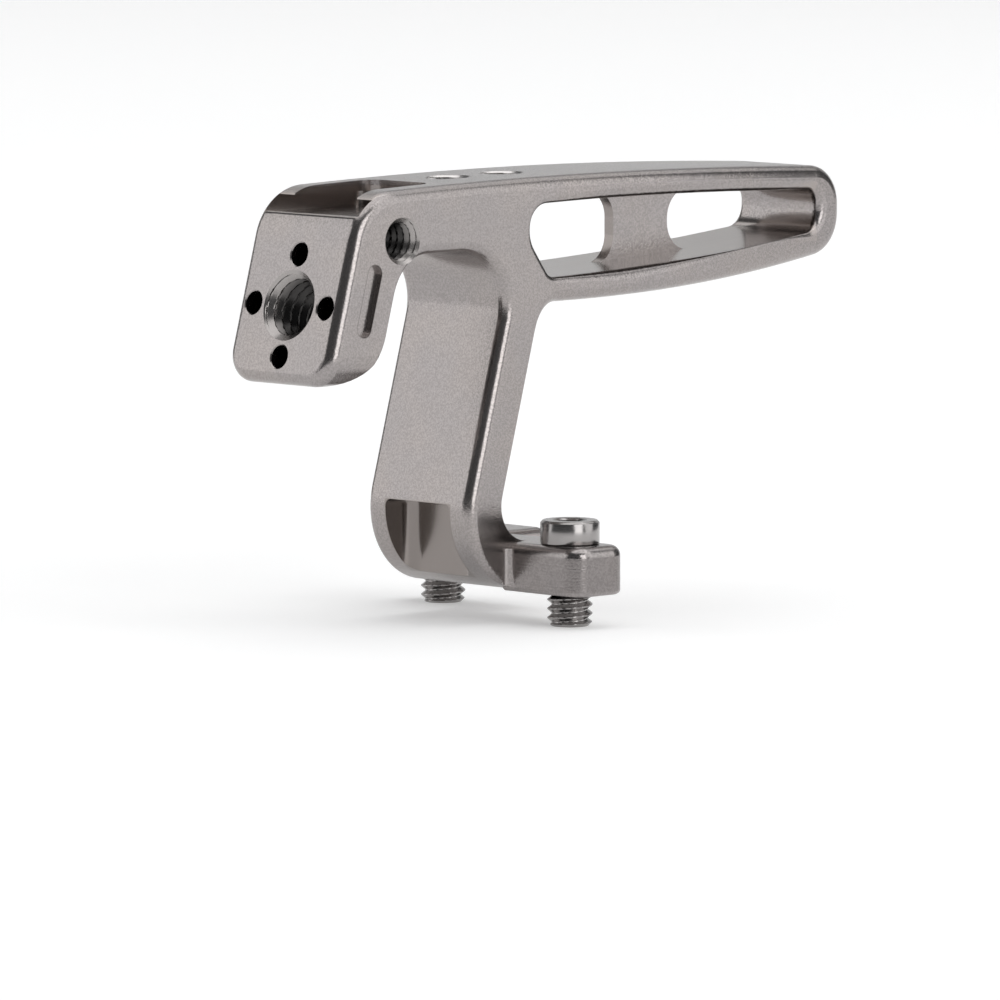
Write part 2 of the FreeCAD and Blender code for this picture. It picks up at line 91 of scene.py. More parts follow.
# Where the mouth of the large front hole stands when the foot stands at the origin, in millimetres.
HOLE = (-41.6, 0.0, 41.16)
LEAN = 0.2736
# Upward direction along the sloped front face.
FACE_UP = (LEAN / math.hypot(1.0, LEAN), 0.0, 1.0 / math.hypot(1.0, LEAN))
# Recess in the near side of the block: centre (X, Z), half its straight length and half its width.
RECESS = (HOLE[0] + 5.4, HOLE[2] + 0.8)
RECESS_STRAIGHT = 3.8
RECESS_HALF = 1.3
# Point that every soft box faces, in metres.
AIM = (0.0, 0.0, 0.035)

Number = Union[float, "Socket"]
Triple = tuple[float, float, float]
Colour = tuple[float, float, float]
Edge = tuple[float, float]
Span = tuple[float, float, float]


class Slot(Enum):
    """Material slots of the record."""

    BODY = "handle_body"
    SCREW_NEAR = "foot_screw_near"
    SCREW_FAR = "foot_screw_far"


@dataclass(frozen=True)
class BodyFinish:
    """Anodised and bead-blasted metal, with brighter machined areas and painted shade in the pocket, pin
    holes, recess edge, web edges and ears.
    """

    blasted: Colour = (0.350, 0.325, 0.320)
    blasted_warm: Colour = (0.368, 0.337, 0.325)
    grain: Colour = (0.20, 0.185, 0.18)
    machined: Colour = (0.36, 0.325, 0.305)
    # Colour of the painted shade in the pocket, pin holes, recess edge, web edges and ears.
    painted_shade: Colour = (0.034, 0.027, 0.023)
    blasted_roughness: float = 0.22
    machined_roughness: float = 0.20
    roughness_spread: float = 0.08
    grain_scale: float = 3600.0
    grain_edges: Edge = (0.36, 0.64)
    grain_strength: float = 0.42
    cloud_scale: float = 90.0
    cloud_edges: Edge = (0.35, 0.65)
    streak_scale: float = 900.0
    streak_stretch: Triple = (0.12, 0.12, 4.0)
    streak_height: float = 0.8
    line_pitch_mm: float = 0.42
    line_height: float = 0.22
    machined_strength: float = 0.8
    machined_smoothing: float = 0.85
    pocket_shade: float = 0.35
    ear_shade: float = 0.28
    recess_shade: float = 0.55
    web_shade: float = 0.25
    relief_strength: float = 0.34
    relief_depth_mm: float = 0.045


@dataclass(frozen=True)
class BodyZones:
    """Where the areas of the body lie, in millimetres.

    A span is its lower limit, its upper limit and the width of its soft edges. An edge is the
    value where its mask is 0 and the value where its mask is 1.
    """

    window_x: Span = (-5.9, 53.9, 0.15)
    window_slope: float = 0.07
    window_floor: Edge = (41.9, 42.3)
    window_ceiling: Edge = (54.6, 54.2)
    window_reach: Edge = (9.2, 8.0)
    web_face: Span = (0.86, 0.98, 0.03)
    web_x: Span = (17.0, 32.0, 0.1)
    web_reach: Edge = (0.90, 0.84)
    pocket_x: Span = (-20.0, -12.0, 0.1)
    pocket_reach: Edge = (6.8, 6.5)
    pocket_top: Edge = (12.6, 12.3)
    shoe_x: Span = (-40.0, -19.3, 0.1)
    shoe_reach: Edge = (9.6, 9.3)
    shoe_z: Span = (53.4, 56.6, 0.08)
    ear_reach: Edge = (11.4, 12.0)
    ear_z: Span = (0.6, 5.6, 0.25)
    pin_ring: Span = (5.4, 9.1, 0.05)
    pin_depth: Span = (1.1, 6.2, 0.45)
    recess_line: Span = (RECESS_HALF - 0.02, RECESS_HALF + 0.09, 0.05)
    near_side: Edge = (10.3, 10.45)


@dataclass(frozen=True)
class SteelFinish:
    """Bright turned steel."""

    base: Colour = (0.36, 0.345, 0.34)
    shade: Colour = (0.30, 0.288, 0.283)
    roughness: float = 0.16
    roughness_spread: float = 0.10
    ring_scale: float = 2600.0
    ring_stretch: Triple = (0.05, 0.05, 1.0)
    cloud_scale: float = 240.0
    cloud_edges: Edge = (0.3, 0.7)
    relief_strength: float = 0.12
    relief_depth_mm: float = 0.02


@dataclass(frozen=True)
class ThreadFinish:
    """Cut thread, bright at its mouth and darkened inside by painted shade; depths are in millimetres."""

    base: Colour = (0.36, 0.34, 0.33)
    painted_depth_shade: Colour = (0.05, 0.048, 0.047)
    roughness: float = 0.20
    roughness_spread: float = 0.12
    cloud_scale: float = 700.0
    dark_from: float = 0.4
    dark_to: float = 3.4


@dataclass(frozen=True)
class StudioFinish:
    """Floor, backdrop and surroundings."""

    floor: Colour = (0.80, 0.80, 0.80)
    floor_roughness: float = 0.9
    glow: Colour = (1.0, 1.0, 1.0)
    glow_strength: float = 0.30
    world: Colour = (0.95, 0.97, 1.0)
    world_strength: float = 0.11
    overhead_strength: float = 1.1
    overhead_spread: float = 60.0


@dataclass
class SweepSize:
    """Sizes of the floor that curves up into the backdrop, in metres."""

    reach: float = 5.0
    bend_radius: float = 1.5
    wall_top: float = 4.0
    bend_points: int = 33


@dataclass
class ThreadSize:
    """Sizes of one threaded hole, in millimetres."""

    name: str
    mouth: Triple
    inward: Triple
    major: float
    minor: float
    pitch: float
    depth: float
    mouth_radius: float
    lead: float


@dataclass
class ScrewSize:
    """Sizes of a foot screw, in millimetres."""

    head_radius: float = 4.15
    head_height: float = 3.35
    head_break: float = 0.32
    seat: float = 6.9
    socket_flats: float = 3.97
    socket_depth: float = 1.9
    neck_radius: float = 2.5
    major: float = 3.175
    minor: float = 2.55
    pitch: float = 1.27
    neck_low: float = -0.1
    tip: float = -4.6
    tip_break: float = 0.6
    runout_slope: float = 1.6


@dataclass(frozen=True)
class ScrewEdges:
    """Small edges of a screw's outline, in millimetres.

    The centre and the foot of the socket are shares of its width.
    """

    socket_centre: float = 0.45
    socket_cone: float = 0.25
    socket_foot: float = 0.97
    foot_rise: float = 0.06
    mouth_depth: float = 0.30
    mouth_middle: float = 0.10
    mouth_middle_depth: float = 0.06
    mouth_rim: float = 0.20
    top_inset: float = 0.05
    top_drop: float = 0.015
    side_inset: float = 0.03
    side_drop: float = 0.06
    under_high: float = 0.24
    under_low: float = 0.12
    under_inset: float = 0.05
    under_break: float = 0.22


@dataclass(frozen=True)
class ScrewPlace:
    """One foot screw: its name, its CAD node, its place in millimetres and its turn in degrees."""

    name: str
    slot: Slot
    x: float
    y: float
    turn: float


@dataclass
class CameraSize:
    """View of the photograph: a long lens, slightly above the handle, in front of its near side.

    Angles are in degrees, the clipping distances in metres and all else in millimetres.
    """

    azimuth: float = -44.02
    elevation: float = 5.553
    roll: float = 0.06
    distance: float = 1383.5
    offset_right: float = -29.06
    offset_up: float = 26.82
    lens: float = 361.7
    sensor: float = 36.0
    clip_start: float = 0.05
    clip_end: float = 50.0


@dataclass
class LightSize:
    """One soft box, with its place, its size in metres and its brightness."""

    name: str
    azimuth: float
    elevation: float
    distance: float
    width: float
    height: float
    radiance: float


class Socket:
    """A shader output with ordinary arithmetic, so that a formula reads as a formula."""

    def __init__(self, graph: "Graph", socket: bpy.types.NodeSocket) -> None:
        """Keep a node output.

        Args:
            graph: the node graph that the output belongs to.
            socket: the output itself.
        """
        self.graph = graph
        self.socket = socket

    def _math(self, operation: str, *values: Number) -> "Socket":
        """Apply one Math operation.

        Args:
            operation: name of the operation.
            values: its inputs in order.

        Returns:
            The result.
        """
        node = self.graph.node("ShaderNodeMath", operation=operation)
        for index, value in enumerate(values):
            self.graph.feed(node.inputs[index], value)
        return Socket(self.graph, node.outputs[0])

    def __add__(self, other: Number) -> "Socket":
        """Sum."""
        return self._math("ADD", self, other)

    __radd__ = __add__

    def __sub__(self, other: Number) -> "Socket":
        """Difference."""
        return self._math("SUBTRACT", self, other)

    def __rsub__(self, other: Number) -> "Socket":
        """Difference from a number."""
        return self._math("SUBTRACT", other, self)

    def __mul__(self, other: Number) -> "Socket":
        """Product."""
        return self._math("MULTIPLY", self, other)

    __rmul__ = __mul__

    def __truediv__(self, other: Number) -> "Socket":
        """Quotient."""
        return self._math("DIVIDE", self, other)

    def __rtruediv__(self, other: Number) -> "Socket":
        """A number over this."""
        return self._math("DIVIDE", other, self)

    def __neg__(self) -> "Socket":
        """Opposite."""
        return self._math("MULTIPLY", self, -1.0)

    def __abs__(self) -> "Socket":
        """Size without sign."""
        return self._math("ABSOLUTE", self)

    def sin(self) -> "Socket":
        """Sine."""
        return self._math("SINE", self)

    def root(self) -> "Socket":
        """Square root."""
        return self._math("SQRT", self)

    def most(self, other: Number) -> "Socket":
        """Larger of two."""
        return self._math("MAXIMUM", self, other)

    def step(self, low: float, high: float) -> "Socket":
        """Smooth rise from 0 at low to 1 at high.

        Args:
            low: value where the rise starts.
            high: value where it ends; it may be below low for a fall.

        Returns:
            The rise, from 0 to 1.
        """
        node = self.graph.node("ShaderNodeMapRange", interpolation_type="SMOOTHSTEP")
        self.graph.feed(node.inputs["Value"], self)
        self.graph.feed(node.inputs["From Min"], min(low, high))
        self.graph.feed(node.inputs["From Max"], max(low, high))
        rise = Socket(self.graph, node.outputs["Result"])
        return rise if low < high else 1.0 - rise


class Graph:
    """Node graph of one material."""

    def __init__(self, name: str) -> None:
        """Start a material with an empty graph.

        Args:
            name: name of the material.
        """
        self.material = bpy.data.materials.new(name)
        self.material.use_nodes = True
        self.tree = self.material.node_tree
        self.tree.nodes.clear()
        self.output = self.node("ShaderNodeOutputMaterial")

    def node(self, kind: str, **settings: object) -> bpy.types.Node:
        """Add a node of any kind.

        Args:
            kind: its type.
            settings: properties to set on it.

        Returns:
            The node.
        """
        made = self.tree.nodes.new(kind)
        for key, value in settings.items():
            setattr(made, key, value)
        return made

    def feed(self, target: bpy.types.NodeSocket, value: object) -> None:
        """Give an input a link or a constant.

        Args:
            target: the input.
            value: a Socket, a node output, or a constant.
        """
        if isinstance(value, Socket):
            self.tree.links.new(value.socket, target)
        elif isinstance(value, bpy.types.NodeSocket):
            self.tree.links.new(value, target)
        elif isinstance(value, (tuple, list)) and target.type == "RGBA":
            target.default_value = (*value[:3], 1.0)
        else:
            target.default_value = value

    def position(self) -> tuple[Socket, Socket, Socket]:
        """Object coordinates in millimetres.

        Returns:
            X, Y and Z.
        """
        coords = self.node("ShaderNodeTexCoord")
        split = self.node("ShaderNodeSeparateXYZ")
        self.feed(split.inputs[0], coords.outputs["Object"])
        return tuple(Socket(self, out) * (1.0 / MM) for out in split.outputs)

    def noise(self, scale: float, detail: float, stretch: Sequence[float] = (1.0, 1.0, 1.0)) -> Socket:
        """Noise over object coordinates.

        Args:
            scale: cells in a metre.
            detail: number of finer layers.
            stretch: factor on each axis.

        Returns:
            A value from 0 to 1.
        """
        coords = self.node("ShaderNodeTexCoord")
        mapping = self.node("ShaderNodeMapping")
        self.feed(mapping.inputs["Vector"], coords.outputs["Object"])
        mapping.inputs["Scale"].default_value = tuple(stretch)
        made = self.node("ShaderNodeTexNoise")
        self.feed(made.inputs["Vector"], mapping.outputs[0])
        self.feed(made.inputs["Scale"], scale)
        self.feed(made.inputs["Detail"], detail)
        return Socket(self, made.outputs["Fac"])

    def mix_colour(self, amount: Number, first: object, second: object) -> bpy.types.NodeSocket:
        """Blend two colours.

        Args:
            amount: 0 for the first and 1 for the second.
            first: a colour or an output.
            second: a colour or an output.

        Returns:
            The blended colour.
        """
        made = self.node("ShaderNodeMix", data_type="RGBA")
        self.feed(made.inputs["Factor"], amount)
        self.feed(made.inputs[6], first)
        self.feed(made.inputs[7], second)
        return made.outputs[2]

    def bump(self, height: Socket, strength: float, distance_mm: float) -> bpy.types.NodeSocket:
        """Surface relief.

        Args:
            height: the relief, from 0 to 1.
            strength: share of it that shows.
            distance_mm: its depth.

        Returns:
            The normal.
        """
        made = self.node("ShaderNodeBump")
        self.feed(made.inputs["Height"], height)
        self.feed(made.inputs["Strength"], strength)
        self.feed(made.inputs["Distance"], distance_mm * MM)
        return made.outputs["Normal"]

    def principled(self, **inputs: object) -> bpy.types.Node:
        """Surface shader joined to the output.

        Args:
            inputs: values by input name, with underscores for spaces.

        Returns:
            The shader node.
        """
        made = self.node("ShaderNodeBsdfPrincipled")
        for key, value in inputs.items():
            self.feed(made.inputs[key.replace("_", " ")], value)
        self.feed(self.output.inputs["Surface"], made.outputs[0])
        return made


def within(value: Socket, low: float, high: float, soft: float) -> Socket:
    """Mask that is 1 between two limits.

    Args:
        value: the coordinate.
        low: lower limit.
        high: upper limit.
        soft: width of each edge.

    Returns:
        The mask.
    """
    return value.step(low - soft, low + soft) * value.step(high + soft, high - soft)


class BodyMasks:
    """Masks of the body's areas, each found by its place."""

    def __init__(self, graph: Graph, zones: BodyZones) -> None:
        """Read the position once for every mask.

        Args:
            graph: graph of the body's material.
            zones: where the areas lie.
        """
        self.zones = zones
        self.x, self.y, self.z = graph.position()
        self.reach = abs(self.y)
        self.window = self._window()

    def _window(self) -> Socket:
        """Space of the window, between its floor line and its ceiling.

        Returns:
            The mask.
        """
        zones = self.zones
        floor_line = self.z - zones.window_slope * self.x
        along = within(self.x, *zones.window_x)
        return along * floor_line.step(*zones.window_floor) * self.z.step(*zones.window_ceiling)

    def _beside(self, point: tuple[float, float]) -> tuple[Socket, Socket]:
        """Distances from a point, measured along the sloped front face and square to it.

        Args:
            point: its X and Z, in millimetres.

        Returns:
            How far up along the face, and how far into the block.
        """
        ahead, above = self.x - point[0], self.z - point[1]
        up = above * FACE_UP[2] + ahead * FACE_UP[0]
        inward = ahead * FACE_UP[2] - above * FACE_UP[0]
        return up, inward

    def window_walls(self) -> Socket:
        """Walls of the window, without the two faces of the web.

        Returns:
            The mask.
        """
        web_face = within(self.reach, *self.zones.web_face)
        return self.window * self.reach.step(*self.zones.window_reach) * (1.0 - web_face)

    def web_edges(self) -> Socket:
        """Narrow front and rear edges of the web.

        Returns:
            The mask.
        """
        return within(self.x, *self.zones.web_x) * self.reach.step(*self.zones.web_reach) * self.window

    def pocket(self) -> Socket:
        """Pocket in the heel of the post, as a box.

        Returns:
            The mask.
        """
        along = within(self.x, *self.zones.pocket_x)
        return along * self.reach.step(*self.zones.pocket_reach) * self.z.step(*self.zones.pocket_top)

    def shoe(self) -> Socket:
        """Seat of the shoe, as a box.

        Returns:
            The mask.
        """
        along = within(self.x, *self.zones.shoe_x)
        return along * self.reach.step(*self.zones.shoe_reach) * within(self.z, *self.zones.shoe_z)

    def ears(self) -> Socket:
        """Both ears of the foot, between their lower and upper edges.

        Returns:
            The mask.
        """
        return self.reach.step(*self.zones.ear_reach) * within(self.z, *self.zones.ear_z)

    def pin_holes(self) -> Socket:
        """Inside of the plain holes that stand in a ring round the large one.

        Returns:
            The mask.
        """
        up, inward = self._beside((HOLE[0], HOLE[2]))
        from_axis = (up * up + self.y * self.y).root()
        return within(from_axis, *self.zones.pin_ring) * within(inward, *self.zones.pin_depth)

    def recess_line(self) -> Socket:
        """Line round the recess in the near side, a slot with round ends.

        Returns:
            The mask.
        """
        up, inward = self._beside(RECESS)
        past_end = (abs(up) - RECESS_STRAIGHT).most(0.0)
        from_recess = (past_end * past_end + inward * inward).root()
        return within(from_recess, *self.zones.recess_line) * (-self.y).step(*self.zones.near_side)


class Finishes:
    """Makes every material of the handle and its surroundings."""

    def body(self, finish: BodyFinish, zones: BodyZones) -> bpy.types.Material:
        """Blasted and anodised metal, smoother and brighter where it was machined, with painted shade in
        the pocket, pin holes, recess edge, web edges and ears.

        Args:
            finish: colours and roughness.
            zones: where the areas of the body lie.

        Returns:
            The material.
        """
        g = Graph("body_blasted")
        masks = BodyMasks(g, zones)
        pocket, ears = masks.pocket(), masks.ears()
        machined = masks.window_walls().most(pocket).most(masks.shoe())
        blasted = 1.0 - machined
        fine = g.noise(finish.grain_scale, 2.0)
        broad = g.noise(finish.cloud_scale, 2.0)
        streak = g.noise(finish.streak_scale, 3.0, finish.streak_stretch)
        tone = g.mix_colour(broad.step(*finish.cloud_edges), finish.blasted, finish.blasted_warm)
        speck = fine.step(*finish.grain_edges) * finish.grain_strength * blasted
        tone = g.mix_colour(speck, tone, finish.grain)
        tone = g.mix_colour(machined * finish.machined_strength, tone, finish.machined)
        # Painted shade: the pocket, the ears, the line round the recess and the web edges are blended
        # towards the shade colour.
        shade = (pocket * finish.pocket_shade).most(ears * finish.ear_shade)
        shade = shade.most(masks.recess_line() * finish.recess_shade)
        shade = shade.most(masks.web_edges() * finish.web_shade)
        tone = g.mix_colour(shade, tone, finish.painted_shade)
        # Painted shade inside the pin holes.
        tone = g.mix_colour(masks.pin_holes(), tone, finish.painted_shade)
        rough = finish.blasted_roughness - machined * (finish.blasted_roughness - finish.machined_roughness)
        rough = rough + (fine - 0.5) * finish.roughness_spread * blasted
        lines = (masks.z * (2.0 * math.pi / finish.line_pitch_mm)).sin() * 0.5 + 0.5
        tooling = streak * finish.streak_height + lines * finish.line_height
        relief = fine * (1.0 - machined * finish.machined_smoothing) + ears * tooling
        normal = g.bump(relief, finish.relief_strength, finish.relief_depth_mm)
        g.principled(Base_Color=tone, Metallic=1.0, Roughness=rough, Normal=normal)
        return g.material

    def steel(self, name: str, finish: SteelFinish) -> bpy.types.Material:
        """Bright steel with fine turning rings.

        Args:
            name: name of the material.
            finish: colour and roughness.

        Returns:
            The material.
        """
        g = Graph(name)
        ring = g.noise(finish.ring_scale, 2.0, finish.ring_stretch)
        broad = g.noise(finish.cloud_scale, 2.0)
        tone = g.mix_colour(broad.step(*finish.cloud_edges), finish.base, finish.shade)
        rough = finish.roughness + ring * finish.roughness_spread
        normal = g.bump(ring, finish.relief_strength, finish.relief_depth_mm)
        g.principled(Base_Color=tone, Metallic=1.0, Roughness=rough, Normal=normal)
        return g.material

    def thread(self, size: "ThreadSize", finish: "ThreadFinish") -> bpy.types.Material:
        """Cut thread whose colour darkens with its depth, as painted shade inside the hole.

        The depth of a point is its distance from the mouth, measured along the axis.

        Args:
            size: place of the hole.
            finish: colours and roughness.

        Returns:
            The material.
        """
        g = Graph(size.name + "_cut")
        axis = inward_axis(size)
        depth = 0.0
        for coordinate, mouth, home, share in zip(g.position(), size.mouth, HOLE, axis):
            depth = (coordinate - (mouth + home)) * float(share) + depth
        broad = g.noise(finish.cloud_scale, 2.0)
        # Painted shade: the colour runs from the base to the dark shade colour as the depth grows.
        tone = g.mix_colour(depth.step(finish.dark_from, finish.dark_to), finish.base, finish.painted_depth_shade)
        rough = finish.roughness + broad * finish.roughness_spread
        g.principled(Base_Color=tone, Metallic=1.0, Roughness=rough)
        return g.material

    def floor(self, finish: StudioFinish) -> bpy.types.Material:
        """Plain pale paper with a faint glow, as if lit a little from behind.

        Args:
            finish: its colour and its glow.

        Returns:
            The material.
        """
        g = Graph("paper")
        g.principled(
            Base_Color=finish.floor,
            Roughness=finish.floor_roughness,
            Emission_Color=finish.glow,
            Emission_Strength=finish.glow_strength,
        )
        return g.material


def inward_axis(size: "ThreadSize") -> np.ndarray:
    """Unit vector from the mouth of a hole into the metal.

    Args:
        size: place of the hole.

    Returns:
        The direction.
    """
    inward = np.array(size.inward, float)
    return inward / np.linalg.norm(inward)


def thread_ridge(turns: np.ndarray, root: float, flank: float) -> np.ndarray:
    """Height of a thread whose crest and root are cut flat.

    Args:
        turns: turn count of every point.
        root: share of half a pitch that the root takes.
        flank: share of half a pitch that the flank takes.

    Returns:
        The height, from 0 to 1.
    """
    rise = np.abs(2.0 * (turns - np.floor(turns)) - 1.0)
    return np.clip((rise - root) / flank, 0.0, 1.0)


class Sheet:
    """A closed surface made of rings of points, computed as whole arrays."""

    sharp_angle = 32.0

    @staticmethod
    def rings(name: str, points: np.ndarray, closed: bool) -> bpy.types.Object:
        """Join rings of points into a mesh.

        Neighbouring rings are joined by four-sided faces. When the surface isn't closed on
        itself, its first and last rings end in fans round their mean points.

        Args:
            name: name of the object.
            points: array of rings by points by 3, in millimetres.
            closed: whether the last ring joins the first.

        Returns:
            The object.
        """
        count, around, _ = points.shape
        grid = np.arange(count * around).reshape(count, around)
        following = np.roll(grid, -1, axis=1)
        upper = np.roll(grid, -1, axis=0) if closed else grid[1:]
        lower = grid if closed else grid[:-1]
        next_lower = following if closed else following[:-1]
        next_upper = np.roll(following, -1, axis=0) if closed else following[1:]
        quads = np.stack([lower, next_lower, next_upper, upper], axis=-1).reshape(-1, 4)
        verts = points.reshape(-1, 3)
        faces = quads.tolist()
        if not closed:
            first, last = len(verts), len(verts) + 1
            verts = np.vstack([verts, points[0].mean(axis=0), points[-1].mean(axis=0)])
            start = np.stack([np.full(around, first), following[0], grid[0]], axis=-1)
            end = np.stack([np.full(around, last), grid[-1], following[-1]], axis=-1)
            faces += start.tolist() + end.tolist()
        mesh = bpy.data.meshes.new(name)
        mesh.from_pydata((verts * MM).tolist(), [], faces)
        mesh.update()
        mesh.shade_smooth()
        mesh.set_sharp_from_angle(angle=math.radians(Sheet.sharp_angle))
        made = bpy.data.objects.new(name, mesh)
        bpy.context.scene.collection.objects.link(made)
        return made


class ThreadedHole:
    """Helical thread that lines one hole of the body; its gaps are in millimetres."""

    around = 112
    steps_per_turn = 18
    root_share = 0.10
    flank_share = 0.78
    root_gap = 0.02
    wall_gap = 0.015
    sunk_from = 0.3
    sunk_gap = 0.12

    def __init__(self, size: ThreadSize) -> None:
        """Keep the sizes.

        Args:
            size: place and proportions of the thread.
        """
        self.size = size

    def build(self, material: bpy.types.Material) -> bpy.types.Object:
        """Make the lining.

        At an angle a and a depth s below the mouth, the turn count is s / pitch - a / (2 pi). The
        distance of its fractional part from one half gives a ridge that runs in a right-hand
        helix; its crest and root are cut flat. The radius is the larger of that ridge and of
        the lead-in cone, and stays just inside the wall of the bore. The outer skin is sunk in
        the wall, so that the lining is a closed ring.

        Args:
            material: finish of the thread.

        Returns:
            The object.
        """
        s = self.size
        rows = int(round(s.depth / s.pitch * self.steps_per_turn)) + 1
        depth = np.linspace(0.0, s.depth, rows)[:, None]
        angle = np.linspace(0.0, 2.0 * math.pi, self.around, endpoint=False)[None, :]
        turns = depth / s.pitch - angle / (2.0 * math.pi)
        ridge = thread_ridge(turns, self.root_share, self.flank_share)
        radius = s.minor + (s.major - self.root_gap - s.minor) * ridge
        cone = s.mouth_radius - self.wall_gap - depth * (s.mouth_radius - s.minor) / s.lead
        wall = np.maximum(s.major, s.mouth_radius - depth) - self.wall_gap
        radius = np.minimum(np.maximum(radius, cone), wall)
        inner = self._place(depth, angle, radius)
        sunk = np.array([[s.depth], [self.sunk_from]])
        skin = np.full((2, self.around), s.mouth_radius + self.sunk_gap)
        outer = self._place(sunk, angle, skin)
        made = Sheet.rings(s.name, np.concatenate([inner, outer]), True)
        made.data.materials.append(material)
        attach(made, "root")
        return made

    def _place(self, depth: np.ndarray, angle: np.ndarray, radius: np.ndarray) -> np.ndarray:
        """Turn depth, angle and radius into points.

        Args:
            depth: distance below the mouth, as a column.
            angle: angle round the axis, as a row.
            radius: radius of every point.

        Returns:
            Array of rings by points by 3, in millimetres.
        """
        inward = inward_axis(self.size)
        side = np.cross([0.0, 1.0, 0.0] if abs(inward[1]) < 0.9 else [0.0, 0.0, 1.0], inward)
        side = side / np.linalg.norm(side)
        other = np.cross(inward, side)
        mouth = np.array(self.size.mouth, float) + np.array(HOLE)
        ring = np.cos(angle)[..., None] * side + np.sin(angle)[..., None] * other
        return mouth + depth[..., None] * inward + radius[..., None] * ring


class FootScrew:
    """Cylinder-head screw with a hexagon socket, a plain neck and a threaded end."""

    around = 96
    steps_per_turn = 16
    root_share = 0.12
    flank_share = 0.76

    def __init__(self, size: ScrewSize, edges: ScrewEdges) -> None:
        """Keep the sizes.

        Args:
            size: proportions of the screw.
            edges: its small edges.
        """
        self.size = size
        self.edges = edges

    def _head_rows(self, angle: np.ndarray) -> list[tuple[np.ndarray, float]]:
        """Rings from the bottom of the socket, over the head and down the neck.

        A wall of the socket stands at half the flats over the cosine of the angle from its
        middle.

        Args:
            angle: angle round the axis.

        Returns:
            The radii and the height of each ring.
        """
        s, e = self.size, self.edges
        sector = math.pi / 3.0
        local = np.mod(angle, sector) - sector / 2.0
        hexagon = s.socket_flats / 2.0 / np.cos(local)
        corner = s.socket_flats / 2.0 / math.cos(sector / 2.0)
        top = s.seat + s.head_height
        floor = top - s.socket_depth
        plain = np.ones_like(angle)
        return [
            (hexagon * e.socket_centre, floor - e.socket_cone),
            (hexagon * e.socket_foot, floor),
            (hexagon, floor + e.foot_rise),
            (hexagon, top - e.mouth_depth),
            (plain * (corner + e.mouth_middle), top - e.mouth_middle_depth),
            (plain * (corner + e.mouth_rim), top),
            (plain * (s.head_radius - s.head_break - e.top_inset), top),
            (plain * (s.head_radius - s.head_break), top - e.top_drop),
            (plain * (s.head_radius - e.side_inset), top - s.head_break),
            (plain * s.head_radius, top - s.head_break - e.side_drop),
            (plain * s.head_radius, s.seat + e.under_high),
            (plain * (s.head_radius - e.under_inset), s.seat + e.under_low),
            (plain * (s.head_radius - e.under_break), s.seat),
            (plain * s.neck_radius, s.seat),
            (plain * s.neck_radius, s.neck_low),
        ]

    def _thread_rows(self, angle: np.ndarray) -> list[tuple[np.ndarray, float]]:
        """Rings along the thread, from the neck to the tip.

        The radius follows the distance of the turn count from one half. It is limited to a
        cone at the tip and to another where the thread runs out into the neck.

        Args:
            angle: angle round the axis.

        Returns:
            The radii and the height of each ring.
        """
        s = self.size
        length = s.neck_low - s.tip
        steps = int(round(length / s.pitch * self.steps_per_turn)) + 1
        rows = []
        for drop in np.linspace(0.0, length, steps):
            turns = drop / s.pitch + angle / (2.0 * math.pi)
            ridge = thread_ridge(turns, self.root_share, self.flank_share)
            radius = s.minor + (s.major - s.minor) * ridge
            limit = min(s.major, s.major - s.tip_break + (length - drop))
            limit = min(limit, s.neck_radius + drop * s.runout_slope)
            rows.append((np.minimum(radius, limit), s.neck_low - drop))
        return rows

    def build(self, place: ScrewPlace, material: bpy.types.Material) -> bpy.types.Object:
        """Make one screw in place of its plain CAD node, as one run of rings.

        Args:
            place: where it stands and what it stands for.
            material: finish of the screw.

        Returns:
            The object.
        """
        angle = np.linspace(0.0, 2.0 * math.pi, self.around, endpoint=False)
        rows = self._head_rows(angle) + self._thread_rows(angle)
        radii = np.stack([row[0] for row in rows])
        heights = np.array([row[1] for row in rows])[:, None]
        turned = angle + math.radians(place.turn)
        points = np.stack(
            [
                place.x + radii * np.cos(turned),
                place.y + radii * np.sin(turned),
                np.broadcast_to(heights, radii.shape),
            ],
            axis=-1,
        )
        node = place.slot.value
        made = Sheet.rings(place.name, points, False)
        made.data.flip_normals()
        made.data.materials.append(material)
        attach(made, "root")
        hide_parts(node)
        return made


